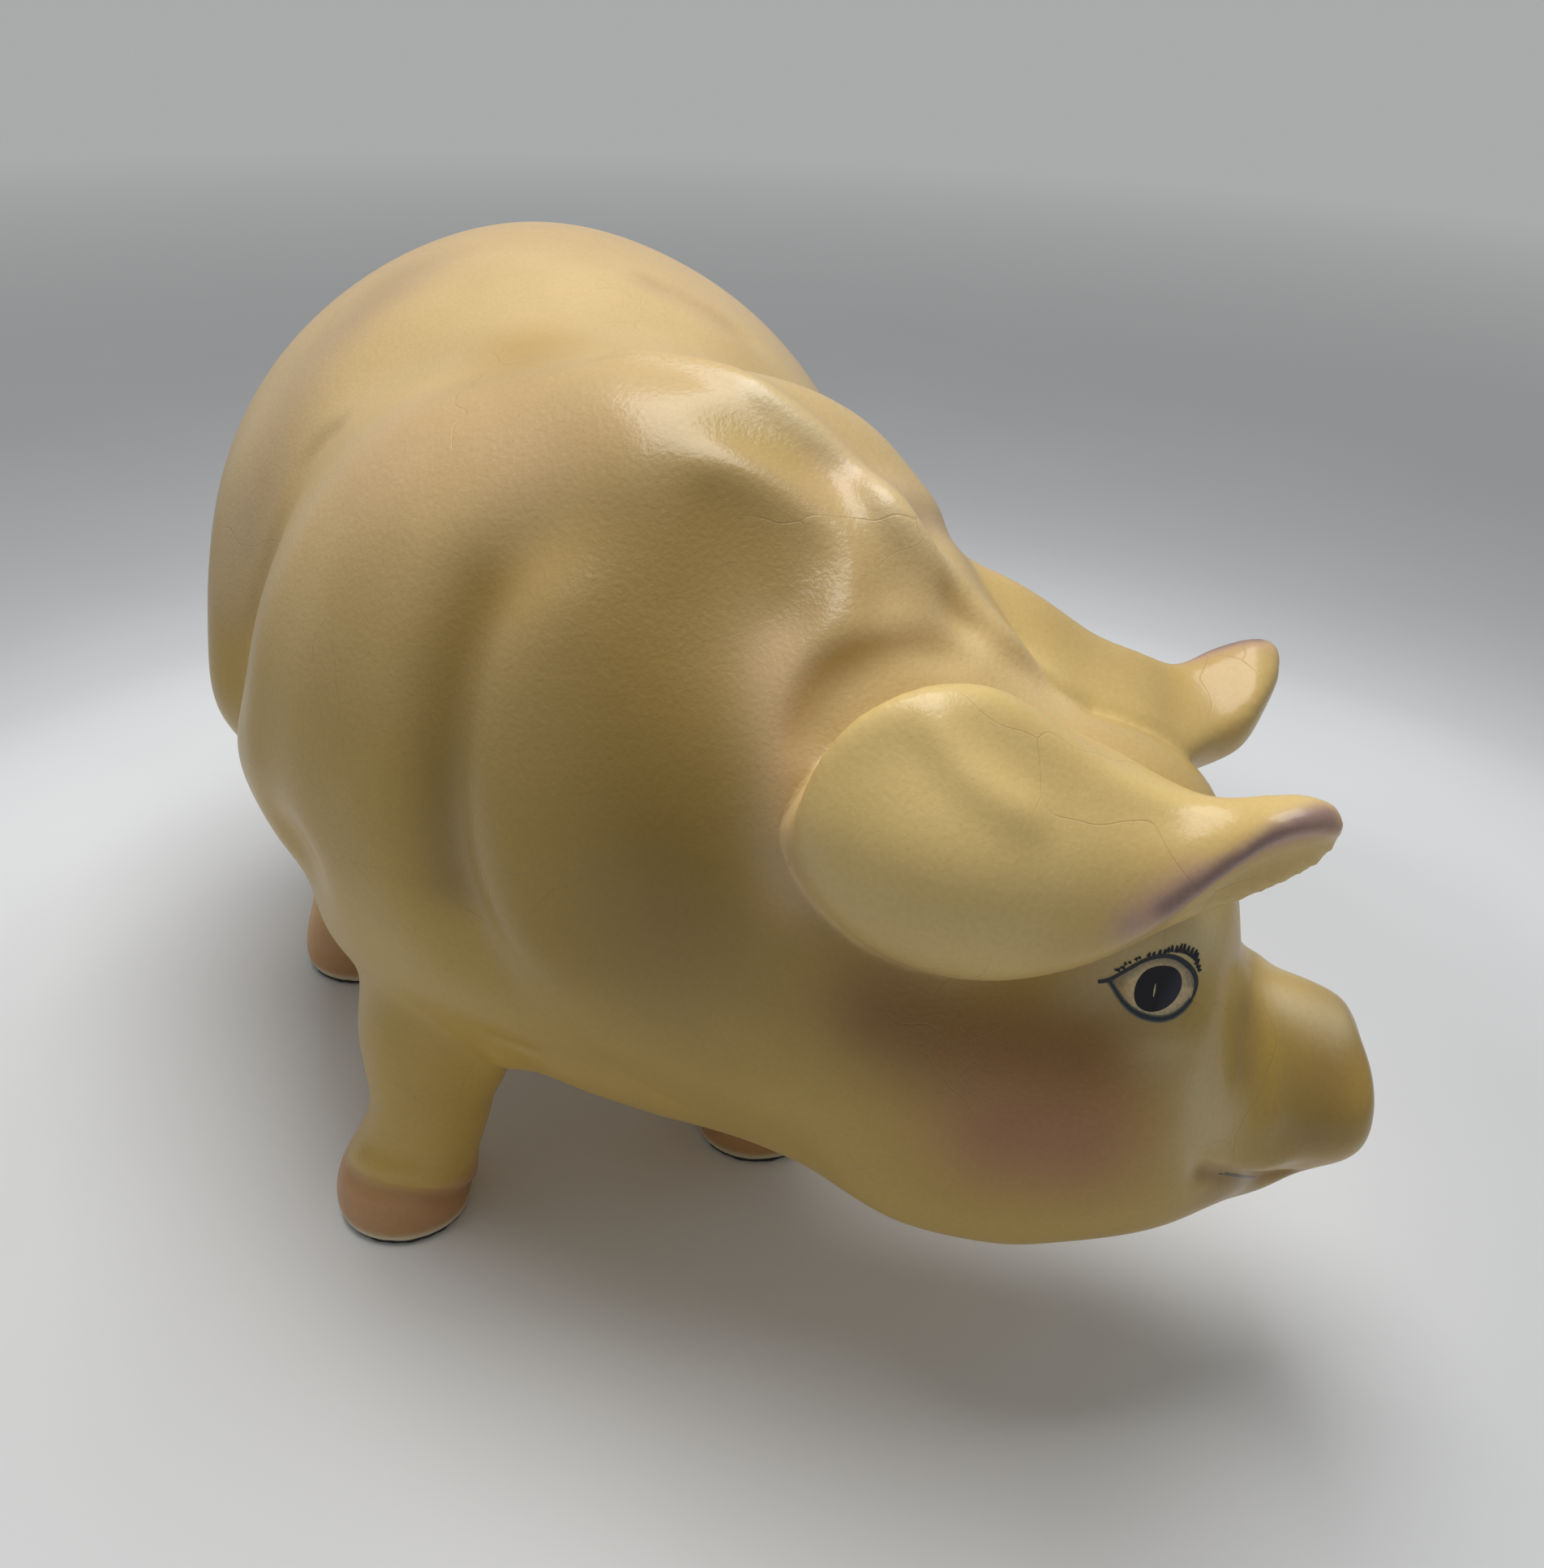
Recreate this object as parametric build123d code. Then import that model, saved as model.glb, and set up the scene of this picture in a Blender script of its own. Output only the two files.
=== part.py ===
"""Hollow glazed ceramic pig figurine, standing, its head lowered and turned to its own left.

The pieces are cast apart and luted together with slip: torso, head with its neck, two ears, tail and four legs.
Felt pads are glued under the four hooves. Millimetres. While it is modelled, the origin lies on the floor
midway between the front hooves, with +X the way the body faces, +Y the pig's left and +Z up. At the end every
piece is moved so that the origin is the middle of the whole part's footprint.
"""

import math
import os

from build123d import *

# Body: heights above the floor, widths, and lengths behind the front hooves
belly_height = 48.0
flank_height = 128.0
back_height = 218.0
body_length = 190.0
shoulder_width = 124.0
ham_width = 180.0

# Head: where the poll, its top between the ears, lies and how large the head is
poll_forward = 58.0
poll_left = 88.0
poll_height = 164.0
head_turn = 73.3
head_length = 74.0
head_width = 78.0
cheek_height = 86.0
jowl_height = 42.0

# Neck seam, where head and torso are luted together, in sections counted from the rump
seam_section = 8.5

# Nostrils, pressed into the snout's flat end
nostril_radius = 4.0
nostril_spacing = 15.0
nostril_depth = 3.0

# Ears
ear_spread = 36.0
ear_depth = 60.0
ear_thickness = 8.0
ear_lean = 26.0
left_ear_rise_share = 0.66

# Legs, hooves and felt pads
front_track = 94.0
hind_track = 124.0
wheelbase = 109.0
left_forefoot_setback = 16.0
hoof_radius = 17.0
felt_radius = 15.5
felt_thickness = 1.0

# Tail, a tapered roll of clay in one open curl
tail_root_radius = 5.0
tail_tip_radius = 2.4
tail_curl_radius = 11.0
tail_reach = 12.0
tail_root_height = 172.0
tail_sink = 5.0
tail_turns = 1.15
tail_sections = 12

# Casting: the wall left by the slip, the vent under the belly, and the air holes from body to legs
wall = 5.0
vent_radius = 3.0
air_hole_radius = 3.0
overrun = 10.0

# Sections are evenly filled in between the ones given, this many for the torso and for the head.
torso_sections = 25
head_section_count = 29

# An outline is a smooth closed curve through this many points. Its two halves can be pinched or filled.
outline_points = 16
back_pinch = 1.08
belly_pinch = 0.82


def heading(turn):
    """Unit vector that points forward when turned to the left by this many degrees."""
    return Vector(math.cos(math.radians(turn)), math.sin(math.radians(turn)), 0)


def across(place, turn):
    """Upright plane across the body at a place: its x runs to the body's left and its y up."""
    forward = heading(turn)
    return Plane(origin=place, x_dir=(-forward.Y, forward.X, 0), z_dir=forward)


def outline(plane, left, right, up, down, pinch_up=1.0, pinch_down=1.0):
    """Closed smooth outline round the plane's origin. A pinch over 1 narrows its half and under 1 fills it."""
    points = []
    for step in range(outline_points):
        angle = math.tau * step / outline_points
        aside = math.cos(angle)
        rise = math.sin(angle)
        pinch = pinch_up if rise > 0 else pinch_down
        reach = left if aside > 0 else right
        height = up if rise > 0 else down
        points.append(plane.from_local_coords((math.copysign(reach * abs(aside) ** pinch, aside), height * rise, 0)))
    return Wire([Edge.make_spline(points, periodic=True)])


poll = Vector(poll_forward, poll_left, poll_height)
head_forward = heading(head_turn)
head_right = Vector(head_forward.Y, -head_forward.X, 0)


def head_place(ahead, aside, height):
    """Point at a distance ahead of the poll, to the head's right, and at a height above the floor."""
    return Vector(0, 0, height - poll_height) + poll + head_forward * ahead + head_right * aside


# Body sections from the rump forward: distance back as a share of the body's length, half-width as a share of
# half the ham's, rise of the back and drop of the belly as shares of the full ones from the flank, and how far
# the hollow's section is set forward, as a share of the wall.
body_shares = [
    (1.000, 0.10, 0.13, 0.14, 1.0),
    (0.985, 0.44, 0.46, 0.44, 1.0),
    (0.925, 0.70, 0.76, 0.72, 1.0),
    (0.800, 0.89, 0.94, 0.90, 0.4),
    (0.600, 1.00, 1.01, 0.985, 0.0),
    (0.400, 0.970, 0.99, 1.005, 0.0),
    (0.225, 0.780, 0.960, 1.000, 0.0),
]

# Neck sections from the shoulders forward: the crest's place as shares of the poll's, turn as a share of the
# head's, left and right half-widths as shares of half the shoulders', rise of the crest and drop of the
# throat as shares of the full ones from the flank, and the widest level as a share of the flank's height.
neck_shares = [
    (-0.150, 0.040, 0.08, 1.08, 1.20, 0.97, 1.00, 1.03),
    (0.240, 0.375, 0.36, 0.78, 1.15, 0.97, 1.01, 1.06),
    (0.530, 0.640, 0.60, 0.60, 0.95, 0.76, 1.02, 1.04),
    (0.790, 0.830, 0.80, 0.62, 0.78, 0.54, 1.05, 0.86),
]

# Head sections from the poll forward: distance ahead as a share of the head's length, half-width as a share
# of half the head's, rise of the top and drop of the chin as shares of the full ones from the cheek, how far
# the widest level lies below the cheek as a share of that drop, the pinch of the upper half, and how far the
# hollow's section is set back, as a share of the wall.
head_shares = [
    (0.000, 1.04, 1.00, 1.000, 0.06, 1.15, 0.0),
    (0.203, 1.02, 0.96, 0.910, 0.07, 1.20, 0.3),
    (0.386, 0.93, 0.86, 0.840, 0.08, 1.15, 1.0),
    (0.496, 0.81, 0.66, 0.790, 0.10, 1.10, 1.0),
    (0.569, 0.69, 0.36, 0.755, 0.14, 1.00, 1.0),
    (0.676, 0.57, 0.27, 0.715, 0.14, 1.00, 1.0),
    (0.784, 0.50, 0.23, 0.640, 0.12, 0.92, 1.0),
    (0.880, 0.47, 0.18, 0.530, 0.10, 0.85, 1.0),
    (0.960, 0.44, 0.10, 0.440, 0.10, 0.85, 1.0),
    (1.000, 0.34, 0.01, 0.340, 0.10, 0.85, 1.0),
]


def given_sections(inset):
    """Rows of x, y, turn, left, right, top, bottom, widest level and the two pinches, from rump to snout."""
    rows = []
    for back, wide, rise, drop, set_forward in body_shares:
        half = wide * ham_width / 2 - inset
        top = flank_height + rise * (back_height - flank_height) - inset
        bottom = flank_height - drop * (flank_height - belly_height) + inset
        x = -back * body_length + set_forward * inset
        rows.append((x, 0, 0, half, half, top, bottom, flank_height, back_pinch, belly_pinch))
    for forward, aside, turn, left, right, rise, drop, level in neck_shares:
        half = shoulder_width / 2
        top = flank_height + rise * (back_height - flank_height) - inset
        bottom = flank_height - drop * (flank_height - belly_height) + inset
        x = forward * poll_forward
        y = aside * poll_left
        widest = level * flank_height
        rows.append((x, y, turn * head_turn, left * half - inset, right * half - inset, top, bottom, widest,
                     back_pinch, belly_pinch))
    for ahead, wide, rise, drop, sag, pinch, set_back in head_shares:
        place = head_place(ahead * head_length - set_back * inset, 0, 0)
        half = wide * head_width / 2 - inset
        top = cheek_height + rise * (poll_height - cheek_height) - inset
        bottom = cheek_height - drop * (cheek_height - jowl_height) + inset
        widest = cheek_height - sag * (cheek_height - jowl_height)
        rows.append((place.X, place.Y, head_turn, half, half, top, bottom, widest, pinch, 1.0))
    return rows


def between(stations, values, at):
    """Smooth value at a station, by a cubic that never swings past the values on either side."""
    count = len(stations)
    steps = [stations[i + 1] - stations[i] for i in range(count - 1)]
    slopes = [(values[i + 1] - values[i]) / steps[i] for i in range(count - 1)]
    bends = [slopes[0]]
    for i in range(1, count - 1):
        level = slopes[i - 1] * slopes[i] <= 0
        before = 2 * steps[i] + steps[i - 1]
        after = steps[i] + 2 * steps[i - 1]
        bends.append(0 if level else (before + after) / (before / slopes[i - 1] + after / slopes[i]))
    bends.append(slopes[-1])
    i = max(k for k in range(count - 1) if k == 0 or stations[k] <= at)
    u = (at - stations[i]) / steps[i]
    start = (2 * u - 3) * u * u + 1
    leave = ((u - 2) * u + 1) * u
    arrive = (u - 1) * u * u
    return (start * values[i] + leave * steps[i] * bends[i] + (1 - start) * values[i + 1]
            + arrive * steps[i] * bends[i + 1])


def casting(first, last, count, inset=0.0):
    """Solid through the sections from one to another, counted from the rump, set in from the outer skin."""
    rows = given_sections(inset)
    travelled = [0.0]
    for before, after in zip(rows, rows[1:]):
        travelled.append(travelled[-1] + math.dist(before[:2], after[:2]))
    numbers = list(range(len(rows)))
    columns = list(zip(*rows))
    wires = []
    for step in range(count):
        station = between(numbers, travelled, first + (last - first) * step / (count - 1))
        x, y, turn, left, right, top, bottom, widest, pinch_up, pinch_down = (
            between(travelled, column, station) for column in columns
        )
        plane = across((x, y, widest), turn)
        wires.append(outline(plane, left, right, top - widest, widest - bottom, pinch_up, pinch_down))
    return Solid.make_loft(wires, ruled=True)


# The hollow of a leg starts this many sections up from the sole.
sole_sections = 2

# Leg sections from the hoof up: height as a share of the leg's below the belly, radius along and across the
# body as shares of the hoof's, and how far the centre is drawn in towards the body's middle and back, as
# shares of the hoof's radius.
front_leg_shares = [
    (0.00, 0.96, 0.96, 0.00, 0.0),
    (0.15, 1.01, 1.01, 0.02, 0.0),
    (0.30, 0.99, 0.98, 0.12, 0.0),
    (0.60, 0.93, 0.90, 0.45, 0.0),
    (0.95, 1.02, 1.00, 0.58, 0.0),
    (1.30, 1.25, 1.15, 0.70, 0.1),
    (1.75, 1.45, 1.20, 0.85, 0.2),
    (2.40, 1.35, 1.10, 1.05, 0.3),
]
hind_leg_shares = [
    (0.00, 0.96, 0.96, 0.00, 0.0),
    (0.15, 1.01, 1.01, 0.02, 0.0),
    (0.30, 0.99, 0.98, 0.06, 0.0),
    (0.60, 0.93, 0.92, 0.15, 0.0),
    (0.95, 1.12, 1.00, 0.25, 0.1),
    (1.30, 1.45, 1.12, 0.45, 0.3),
    (1.80, 1.75, 1.20, 0.75, 0.5),
    (2.40, 1.60, 1.10, 1.10, 0.5),
]


def leg(shares, x, y, inset=0.0):
    side = math.copysign(1, y)
    wires = []
    for level, along, aside, draw_in, draw_back in shares:
        height = felt_thickness + level * (belly_height - felt_thickness)
        place = (x - draw_back * hoof_radius, y - side * draw_in * hoof_radius, height)
        reach = along * hoof_radius - inset
        spread = aside * hoof_radius - inset
        wires.append(outline(Plane(origin=place), reach, reach, spread, spread))
    return Solid.make_loft(wires if inset == 0 else wires[sole_sections:])


def felt_pad(x, y):
    place = Pos(x, y, 0)
    return place * Cylinder(felt_radius, felt_thickness, align=(Align.CENTER, Align.CENTER, Align.MIN))


# Ear sections from its root forward: distance ahead of the poll as a share of the head's length, height of its
# middle above the poll and its half-depth as shares of the ear's depth, distance from the head's middle as a
# share of the spread, half-thickness as a share of the thickness, and lean as a share of the full lean.
ear_shares = [
    (-0.63, -0.08, 0.14, 0.97, 0.45, 1.0),
    (-0.56, -0.13, 0.34, 0.95, 0.75, 1.0),
    (-0.41, -0.17, 0.49, 0.92, 1.00, 1.0),
    (-0.21, -0.18, 0.50, 0.91, 1.10, 1.0),
    (0.05, -0.19, 0.37, 0.94, 1.05, 1.0),
    (0.25, -0.15, 0.25, 0.98, 0.95, 1.1),
    (0.39, -0.09, 0.18, 1.00, 0.80, 1.2),
    (0.53, 0.00, 0.13, 1.00, 0.65, 1.2),
    (0.60, 0.05, 0.07, 1.00, 0.35, 1.2),
]


def ear(side):
    """side is 1 for the pig's right and -1 for its left."""
    wires = []
    for ahead, level, depth, out, thick, lean in ear_shares:
        place = head_place(ahead * head_length, side * out * ear_spread, poll_height + level * ear_depth)
        plane = across(place, head_turn).rotated((0, 0, -side * lean * ear_lean))
        half = thick * ear_thickness
        rise = depth * ear_depth * (1 if side > 0 else left_ear_rise_share)
        wires.append(outline(plane, half, half, rise, depth * ear_depth))
    return Solid.make_loft(wires)


def tail():
    wires = []
    for step in range(tail_sections + 1):
        share = step / tail_sections
        angle = share * tail_turns * math.tau
        radius = tail_curl_radius * (1 - share / 3)
        x = -body_length + tail_sink - share * (tail_sink + tail_reach)
        y = radius * math.sin(angle)
        z = tail_root_height - tail_curl_radius + radius * math.cos(angle)
        thick = tail_root_radius + share * (tail_tip_radius - tail_root_radius)
        direction = Vector(-tail_reach / (tail_turns * math.tau * radius), math.cos(angle), -math.sin(angle))
        plane = Plane(origin=(x, y, z), x_dir=Vector(1, 0, 0).cross(direction).cross(direction), z_dir=direction)
        wires.append(Wire([Edge.make_circle(thick, plane)]))
    return Solid.make_loft(wires)


def nostril(side):
    """A shallow dish pressed into the snout's end."""
    ball = nostril_radius ** 2 / (2 * nostril_depth) + nostril_depth / 2
    snout_sag = head_shares[-1][4]
    height = cheek_height - snout_sag * (cheek_height - jowl_height)
    place = head_place(head_length + ball - nostril_depth, side * nostril_spacing / 2, height)
    return Pos(*place) * Sphere(ball)


def largest(shape):
    """The piece itself, without the slivers that a cut leaves on the far side of what it was cut by."""
    return max(shape.solids(), key=lambda solid: solid.volume)


def pieces():
    snout = len(given_sections(0)) - 1
    torso = casting(0, seam_section, torso_sections)
    head = casting(seam_section, snout, head_section_count)
    torso_hollow = casting(1, seam_section, torso_sections, wall)
    head_hollow = casting(seam_section, snout - 1, head_section_count, wall)
    vent = Pos(-wheelbase / 2, 0, belly_height) * Cylinder(vent_radius, 2 * (wall + overrun))
    torso_shell = torso - torso_hollow - vent
    made = {
        "head_shell": head - head_hollow - nostril(1) - nostril(-1),
        "right_ear": largest(ear(1) - head - torso),
        "left_ear": largest(ear(-1) - head - torso),
        "tail": largest(tail() - torso),
    }
    feet = {
        "front_right": (front_leg_shares, 0, -front_track / 2),
        "front_left": (front_leg_shares, -left_forefoot_setback, front_track / 2),
        "hind_right": (hind_leg_shares, -wheelbase, -hind_track / 2),
        "hind_left": (hind_leg_shares, -wheelbase, hind_track / 2),
    }
    for corner, (shares, x, y) in feet.items():
        made[corner + "_leg"] = largest(leg(shares, x, y) - leg(shares, x, y, wall) - torso - head)
        made[corner + "_felt_pad"] = felt_pad(x, y)
        side = math.copysign(1, y)
        air_hole = Pos(x, y - side * hoof_radius, flank_height / 2) * Cylinder(air_hole_radius, flank_height / 2)
        torso_shell -= air_hole
    made["torso_shell"] = torso_shell
    return made


def main():
    os.makedirs("parts", exist_ok=True)
    made = pieces()
    whole = Compound([solid for piece in made.values() for solid in piece.solids()]).bounding_box()
    to_middle = Pos(-whole.center().X, -whole.center().Y, -whole.min.Z)
    print("moved by", to_middle.position)
    for name, piece in made.items():
        solids = [to_middle * solid for solid in piece.solids()]
        moved = solids[0] if len(solids) == 1 else Compound(solids)
        box = moved.bounding_box()
        print(name, len(solids), [round(solid.volume) for solid in solids], box.min, box.max)
        export_step(moved, "parts/" + name + ".step")


main()
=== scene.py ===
import math

import bpy
import numpy as np
from mathutils import Matrix, Vector
from mathutils.bvhtree import BVHTree


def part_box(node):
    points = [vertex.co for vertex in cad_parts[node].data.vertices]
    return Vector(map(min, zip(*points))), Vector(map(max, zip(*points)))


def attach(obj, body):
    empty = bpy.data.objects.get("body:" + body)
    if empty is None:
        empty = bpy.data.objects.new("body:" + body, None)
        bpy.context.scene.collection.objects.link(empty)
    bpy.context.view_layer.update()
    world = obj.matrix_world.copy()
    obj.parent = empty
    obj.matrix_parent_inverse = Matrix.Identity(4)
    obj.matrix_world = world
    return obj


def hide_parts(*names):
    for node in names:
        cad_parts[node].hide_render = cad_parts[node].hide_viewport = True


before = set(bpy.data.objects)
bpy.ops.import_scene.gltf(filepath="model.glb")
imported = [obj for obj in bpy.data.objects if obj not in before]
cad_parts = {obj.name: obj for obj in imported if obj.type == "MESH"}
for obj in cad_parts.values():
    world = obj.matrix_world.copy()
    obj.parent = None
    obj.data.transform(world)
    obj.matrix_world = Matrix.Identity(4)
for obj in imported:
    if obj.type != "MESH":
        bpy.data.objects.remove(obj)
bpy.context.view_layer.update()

mm = 0.001
tiny = 1e-9

# The pig's own origin: on the floor midway between the front hooves, +X the way it faces, +Y its left
def pad_centre(node):
    low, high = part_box(node)
    return (low + high) / 2


front_right = pad_centre("front_right_felt_pad")
front_left = pad_centre("front_left_felt_pad")
hind_right = pad_centre("hind_right_felt_pad")
pig_origin = Vector((front_right.x, (front_right.y + front_left.y) / 2, 0))
left_setback = front_left.x - front_right.x


def place(x, y, z):
    """Point in millimetres from the pig's own origin, in the frame's metres."""
    return pig_origin + Vector((x, y, z)) * mm


# Head: the poll is its top between the ears, and its own axes run forward and to its right
poll_forward = 58.0
poll_left = 88.0
poll_height = 164.0
head_turn = math.radians(73.3)
poll = place(poll_forward, poll_left, poll_height)
head_forward = Vector((math.cos(head_turn), math.sin(head_turn), 0))
head_right = Vector((head_forward.y, -head_forward.x, 0))


def head_place(ahead, aside, height):
    """Point ahead of the poll, to the head's right and at a height above the floor, all in millimetres."""
    flat = poll + (head_forward * ahead + head_right * aside) * mm
    return Vector((flat.x, flat.y, height * mm))


def head_axes(points):
    """Distances ahead of the poll and to the head's right, and heights, in millimetres."""
    offset = points - np.array(poll)
    return offset @ np.array(head_forward) / mm, offset @ np.array(head_right) / mm, points[:, 2] / mm


def ramp(values, start, end):
    """A smooth rise from 0 at the start to 1 at the end."""
    share = np.clip((values - start) / (end - start), 0, 1)
    return share * share * (3 - 2 * share)


def link(name, data):
    thing = bpy.data.objects.new(name, data)
    bpy.context.scene.collection.objects.link(thing)
    return thing


def new_object(name, points, faces, smooth=True):
    mesh = bpy.data.meshes.new(name)
    mesh.from_pydata([tuple(point) for point in points], [], faces)
    mesh.polygons.foreach_set("use_smooth", [smooth] * len(mesh.polygons))
    return link(name, mesh)


# Camera, fitted to the photograph's outlines
photo_width = 1904
photo_height = 1934
focal_pixels = 1950.0
sensor_width = 36.0
camera_eye = place(309.0, -19.0, 300.0)
camera_turn = math.radians(168.48)
camera_dip = math.radians(30.0)
camera_roll = math.radians(2.6)


def camera_axes():
    forward = Vector((math.cos(camera_turn) * math.cos(camera_dip),
                      math.sin(camera_turn) * math.cos(camera_dip), -math.sin(camera_dip)))
    level_right = forward.cross(Vector((0, 0, 1))).normalized()
    level_up = level_right.cross(forward)
    right = level_right * math.cos(camera_roll) + level_up * math.sin(camera_roll)
    up = level_up * math.cos(camera_roll) - level_right * math.sin(camera_roll)
    return right, up, forward


camera_right, camera_up, camera_forward = camera_axes()


def make_camera():
    data = bpy.data.cameras.new("camera")
    data.sensor_fit = "AUTO"
    data.sensor_width = sensor_width
    data.lens = focal_pixels / max(photo_width, photo_height) * sensor_width
    data.clip_start = 0.01
    data.clip_end = 50.0
    camera = link("camera", data)
    turn = Matrix((camera_right, camera_up, -camera_forward)).transposed().to_4x4()
    camera.matrix_world = Matrix.Translation(camera_eye) @ turn
    bpy.context.scene.camera = camera


def sight(pixel):
    """Direction from the camera through a pixel of the photograph."""
    aside = camera_right * (pixel[0] - photo_width / 2)
    down = camera_up * (pixel[1] - photo_height / 2)
    return (camera_forward * focal_pixels + aside - down).normalized()


# Meshes as arrays, and curves

class Skin:
    """A mesh held as arrays, in metres: points, four-sided faces and edges."""

    def __init__(self, mesh):
        self.points = np.array([tuple(vertex.co) for vertex in mesh.vertices])
        self.edges = np.array([tuple(edge.vertices) for edge in mesh.edges])
        self.faces = [tuple(face.vertices) for face in mesh.polygons]
        self.quads = np.array([face if len(face) == 4 else face + face[-1:] for face in self.faces])
        self.neighbours = np.bincount(self.edges.ravel(), minlength=len(self.points)).astype(float)

    def average(self, values):
        """Mean of each point's neighbours."""
        total = np.zeros_like(values)
        a, b = self.edges.T
        for column in range(values.shape[1]):
            total[:, column] += np.bincount(a, values[b, column], len(values))
            total[:, column] += np.bincount(b, values[a, column], len(values))
        return total / self.neighbours[:, None]

    def smooth(self, rounds, share=None, keep_size=True, out=0.6, back=0.62):
        """Moves the points part of the way to their neighbours' middles and, with keep_size, part of the way
        back, so that the form doesn't shrink."""
        share = 1.0 if share is None else share[:, None]
        for _ in range(rounds):
            for step in (out, -back) if keep_size else (out,):
                self.points += step * share * (self.average(self.points) - self.points)

    def normals(self):
        p = self.points[self.quads]
        face_normals = np.cross(p[:, 2] - p[:, 0], p[:, 3] - p[:, 1])
        total = np.zeros_like(self.points)
        for corner in range(4):
            for column in range(3):
                total[:, column] += np.bincount(self.quads[:, corner], face_normals[:, column], len(total))
        return total / np.maximum(np.linalg.norm(total, axis=1), tiny)[:, None]

    def tree(self):
        return BVHTree.FromPolygons([tuple(p) for p in self.points], self.faces)


def curve_through(points, steps):
    """Points along a smooth curve through the given ones, with this many steps from each to the next."""
    given = [2 * points[0] - points[1], *points, 2 * points[-1] - points[-2]]
    line = []
    for before, start, end, after in zip(given, given[1:], given[2:], given[3:]):
        for step in range(steps):
            t = step / steps
            line.append(0.5 * ((2 * start) + (end - before) * t
                               + (2 * before - 5 * start + 4 * end - after) * t ** 2
                               + (3 * start - before - 3 * end + after) * t ** 3))
    return np.array(line + [points[-1]])


def closed_curve(ring, steps):
    """Points along a smooth closed curve through the given ones."""
    count = len(ring)
    repeated = [ring[(k - 1) % count] for k in range(count + 3)]
    return curve_through(repeated, steps)[steps:(count + 1) * steps]


def band(first, second, around):
    """Faces between two closed rings of points, given by the number of each one's first point."""
    return [(first + k, first + (k + 1) % around, second + (k + 1) % around, second + k)
            for k in range(around)]


def cap(ring, centre, around):
    """Faces between a closed ring and a point at its centre."""
    return [(ring + k, ring + (k + 1) % around, centre) for k in range(around)]


# The glazed skin: one closed surface over all the ceramic pieces, as glaze covers the joints

casting_nodes = ["torso_shell", "head_shell", "tail",
                 "front_right_leg", "front_left_leg", "hind_right_leg", "hind_left_leg"]
ceramic_nodes = casting_nodes + ["right_ear", "left_ear"]
skin_voxel = 1.2 * mm

# Sections of the right ear from its back to its tip, in millimetres: distance ahead of the poll, then the
# distance to the head's right and the height of the upper ridge, the shoulder below it, the outer face, the
# rim, the under-face, the lower edge's outer and inner corners, and the inner face
ear_sections = [
    (-47, (34, 160), (36, 159), (37, 156.5), (37, 153.5), (36, 151.5), (34.5, 150.5), (33, 151), (32, 155)),
    (-44.5, (33, 167.5), (37, 164), (40, 157), (40, 150), (38.5, 146), (36, 144.5), (33, 145), (28, 154)),
    (-40, (32, 174), (38, 168.5), (42.5, 158), (42.5, 146.5), (40.5, 141.5), (37.5, 139.5), (34, 140),
     (20, 153)),
    (-33, (30.5, 179), (38.5, 171.5), (44.5, 158), (45, 143.5), (42, 136.5), (38, 134), (34, 135),
     (14, 153)),
    (-24, (28.5, 182), (38.5, 173), (46, 158.5), (46.5, 142), (43.5, 134), (38.5, 131), (34, 132),
     (12, 156)),
    (-14, (27, 181), (38, 172), (46, 158), (47, 141.5), (44, 133.5), (38.5, 130.5), (34, 131.5), (8, 158)),
    (-4, (27, 175.5), (37, 167.5), (44.5, 156), (46.5, 142), (44, 135.5), (38, 132.5), (33, 134), (8, 160)),
    (7, (28, 169), (36.5, 163.5), (42.5, 155), (45, 144.5), (42, 138.5), (37, 136), (31, 137), (9, 160)),
    (17, (29, 165.5), (36, 162.5), (41, 157.5), (43.5, 150), (39, 143.5), (36, 140.5), (31, 142),
     (14, 158)),
    (25, (30, 165.5), (36, 165), (40, 162.5), (42.5, 158), (36, 150.5), (34.5, 144.5), (30.5, 145),
     (20, 157)),
    (32, (32, 168), (36.5, 168.5), (40, 168), (42, 165), (35, 156.5), (34.5, 148.5), (31, 149), (26, 159)),
    (38, (33.5, 169.5), (37, 170.2), (39.5, 169.6), (41, 167), (35.5, 159.5), (35, 153), (31.5, 153.5),
     (28.5, 162)),
    (42, (35, 169), (37.5, 169.5), (39, 168.8), (40, 166.5), (36.5, 162), (36, 157), (33.5, 158),
     (31, 164)),
    (44, (36, 167), (37, 167.2), (38, 166.8), (38.6, 165.5), (37.2, 163), (36.8, 161), (35.5, 161.5),
     (34.5, 164)),
]
# Points of a section that go with its lower edge: the under-face and the edge's two corners
lower_edge_points = (4, 5, 6)
# Points that go with its inside: the lower edge's inner corner and the inner face
inner_points = (6, 7)
# How the left ear differs from the right one, by distance ahead of the poll: how much lower its ridge and its
# lower edge lie, how much further its inside leans in, and how much further ahead it reaches
left_ridge_droop = [(-47, 2), (-14, 3), (-4, 1), (17, 2), (25, 5.5), (32, 6), (38, 4.5), (44, 3)]
left_edge_droop = [(7, 0), (17, 2), (25, 4.5), (32, 6), (38, 6), (44, 3)]
left_lean = [(7, 0), (25, 8), (38, 7), (44, 1.5)]
left_reach = [(17, 0), (44, 2)]


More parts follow.
